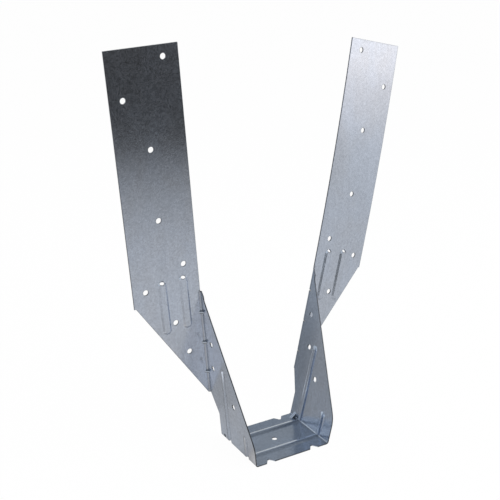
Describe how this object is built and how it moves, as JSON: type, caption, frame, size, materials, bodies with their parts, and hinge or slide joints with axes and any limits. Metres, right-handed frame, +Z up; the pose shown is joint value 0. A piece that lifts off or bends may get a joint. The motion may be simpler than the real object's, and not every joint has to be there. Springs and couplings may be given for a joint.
{
  "type": "beam hanger",
  "caption": "Folded sheet steel beam hanger with a stiffened seat, leaning side plates and long nailing straps that carry a timber beam's end.",
  "frame": {"origin": "centre of the nail hole in the seat, on the face that the beam sits on", "axes": "+X across the beam, +Y towards the supporting timber, +Z up"},
  "size_m": [0.3107, 0.0989, 0.3608],
  "materials": {
    "steel": "galvanised, dull with a fine grain"
  },
  "bodies": {
    "root": {"beam_hanger": "steel"}
  },
  "joints": []
}
